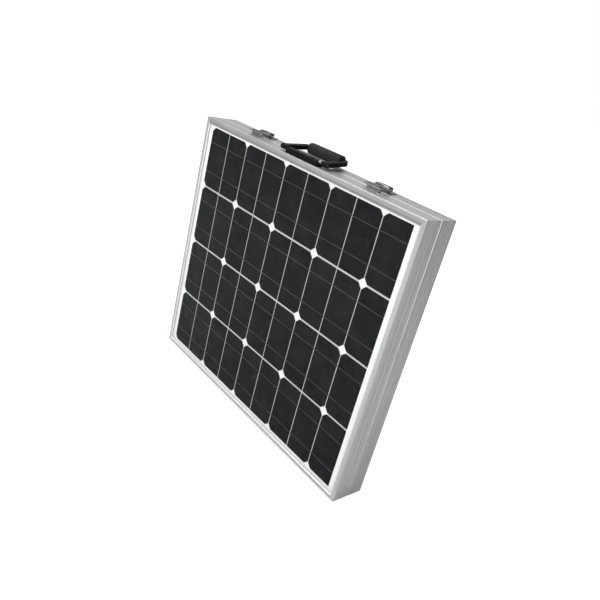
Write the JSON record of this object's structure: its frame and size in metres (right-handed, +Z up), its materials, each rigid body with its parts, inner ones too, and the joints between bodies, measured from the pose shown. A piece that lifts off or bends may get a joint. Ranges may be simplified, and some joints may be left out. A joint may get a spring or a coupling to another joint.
{
  "type": "folding solar panel kit",
  "caption": "Folded two-module solar panel kit with aluminium frames, half-cut cells, hinged lower edge, swinging carry handle, toggle latches and stowed prop stands.",
  "frame": {"origin": "centre of the footprint, on the plane of the rubber feet", "axes": "+X across the width, +Y from the front module to the rear module, +Z up to the handle"},
  "size_m": [0.622, 0.0765, 0.5726],
  "materials": {
    "frame_aluminium": "clear anodised, satin",
    "cover_glass": "toughened low-iron, smooth",
    "silicon": "blue-black textured wafer",
    "ribbon_tin": "dull tinned copper",
    "backsheet_white": "white film",
    "seal_rubber": "white silicone",
    "black_plastic": "moulded",
    "handle_plastic": "fine moulded grain",
    "grip_rubber": "soft touch",
    "foot_rubber": "matt",
    "latch_steel": "nickel plated",
    "zinc_steel": "zinc plated",
    "fastener_steel": "bright zinc",
    "stand_aluminium": "mill finish, satin"
  },
  "bodies": {
    "front_panel": {"front_rail_top": "frame_aluminium", "front_rail_bottom": "frame_aluminium", "front_rail_left": "frame_aluminium", "front_rail_right": "frame_aluminium", "front_corner_keys": "black_plastic", "front_glass": "cover_glass", "front_cells": "silicon", "front_ribbons": "ribbon_tin", "front_backsheet": "backsheet_white", "front_seal": "seal_rubber", "front_junction_box_base": "black_plastic", "front_junction_box_lid": "black_plastic", "front_cable_glands": "black_plastic", "front_feet": "foot_rubber", "front_stand_brackets": "zinc_steel", "front_stand_bolts": "fastener_steel", "hinge_front_leaves": "zinc_steel", "hinge_pins": "fastener_steel", "hinge_front_rivets": "fastener_steel", "handle_base": "handle_plastic", "handle_pins": "fastener_steel", "handle_spacers": "fastener_steel", "handle_screws": "fastener_steel", "left_latch_keeper": "latch_steel", "right_latch_keeper": "latch_steel", "keeper_rivets": "fastener_steel"},
    "rear_panel": {"rear_rail_top": "frame_aluminium", "rear_rail_bottom": "frame_aluminium", "rear_rail_left": "frame_aluminium", "rear_rail_right": "frame_aluminium", "rear_corner_keys": "black_plastic", "rear_glass": "cover_glass", "rear_cells": "silicon", "rear_ribbons": "ribbon_tin", "rear_backsheet": "backsheet_white", "rear_seal": "seal_rubber", "rear_junction_box_base": "black_plastic", "rear_junction_box_lid": "black_plastic", "rear_cable_glands": "black_plastic", "rear_feet": "foot_rubber", "rear_stand_brackets": "zinc_steel", "rear_stand_bolts": "fastener_steel", "hinge_rear_leaves": "zinc_steel", "hinge_rear_rivets": "fastener_steel", "left_latch_base": "latch_steel", "right_latch_base": "latch_steel", "latch_pins": "fastener_steel", "latch_base_rivets": "fastener_steel"},
    "handle": {"handle_bail": "handle_plastic", "handle_grip": "grip_rubber"},
    "left_lever": {"left_latch_lever": "latch_steel"},
    "right_lever": {"right_latch_lever": "latch_steel"},
    "left_loop": {"left_latch_loop": "latch_steel"},
    "right_loop": {"right_latch_loop": "latch_steel"},
    "front_stand": {"front_stand_legs": "stand_aluminium", "front_stand_crossbar": "stand_aluminium", "front_stand_caps": "black_plastic"},
    "rear_stand": {"rear_stand_legs": "stand_aluminium", "rear_stand_crossbar": "stand_aluminium", "rear_stand_caps": "black_plastic"}
  },
  "joints": [
    {"name": "panel_fold", "type": "hinge", "parent": "front_panel", "child": "rear_panel", "pos_m": [0, 0, 0.00275], "axis": [-1, 0, 0], "range_deg": [0, 180]},
    {"name": "handle_swing", "type": "hinge", "parent": "front_panel", "child": "handle", "pos_m": [0, -0.025, 0.55725], "axis": [1, 0, 0], "range_deg": [0, 150]},
    {"name": "left_lever_swing", "type": "hinge", "parent": "rear_panel", "child": "left_lever", "pos_m": [-0.168, 0.01, 0.55535], "axis": [1, 0, 0], "range_deg": [0, 150]},
    {"name": "left_loop_swing", "type": "hinge", "parent": "left_lever", "child": "left_loop", "pos_m": [-0.168, 0.01495, 0.55465], "axis": [1, 0, 0], "range_deg": [-165, 0]},
    {"name": "right_lever_swing", "type": "hinge", "parent": "rear_panel", "child": "right_lever", "pos_m": [0.168, 0.01, 0.55535], "axis": [1, 0, 0], "range_deg": [0, 150]},
    {"name": "right_loop_swing", "type": "hinge", "parent": "right_lever", "child": "right_loop", "pos_m": [0.168, 0.01495, 0.55465], "axis": [1, 0, 0], "range_deg": [-165, 0]},
    {"name": "front_stand_swing", "type": "hinge", "parent": "front_panel", "child": "front_stand", "pos_m": [0, -0.013, 0.045], "axis": [-1, 0, 0], "range_deg": [0, 65]},
    {"name": "rear_stand_swing", "type": "hinge", "parent": "rear_panel", "child": "rear_stand", "pos_m": [0, 0.013, 0.045], "axis": [1, 0, 0], "range_deg": [0, 65]}
  ],
  "couplings": [
    {"joint": "left_loop_swing", "follows": "left_lever_swing", "ratio": -1.1},
    {"joint": "right_loop_swing", "follows": "right_lever_swing", "ratio": -1.1},
    {"joint": "front_stand_swing", "follows": "panel_fold", "ratio": 0.36111},
    {"joint": "rear_stand_swing", "follows": "panel_fold", "ratio": 0.36111}
  ]
}
